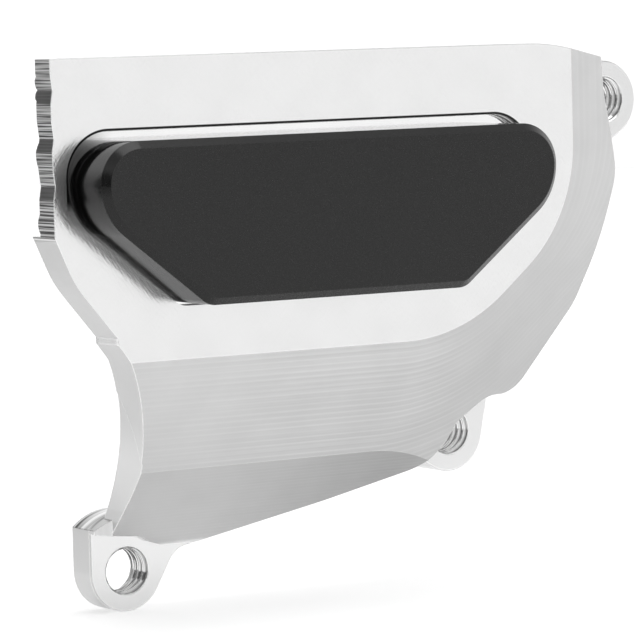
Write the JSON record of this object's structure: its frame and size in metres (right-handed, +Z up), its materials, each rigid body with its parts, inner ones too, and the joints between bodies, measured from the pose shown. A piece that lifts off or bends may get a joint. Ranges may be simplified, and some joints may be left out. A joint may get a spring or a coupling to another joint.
{
  "type": "engine case slider",
  "caption": "Guard for a motorbike engine cover: a hollow milled aluminium shell with sloping sides and threaded lugs, and a black plastic rubbing pad let into its face.",
  "frame": {"origin": "axis of the lower lug's hole, on the plane where the lugs meet the engine", "axes": "+X along the part towards the upper lug, +Y into the engine, +Z up"},
  "size_m": [0.2238, 0.07, 0.1558],
  "materials": {
    "milled_aluminium": "fine milled, with cutter marks on the slopes",
    "pad_plastic": "machined, slightly glossy",
    "screw_steel": "zinc plated"
  },
  "bodies": {
    "root": {"cover": "milled_aluminium", "slider_pad": "pad_plastic", "pad_screw_left": "screw_steel", "pad_screw_middle": "screw_steel", "pad_screw_right": "screw_steel"}
  },
  "joints": []
}
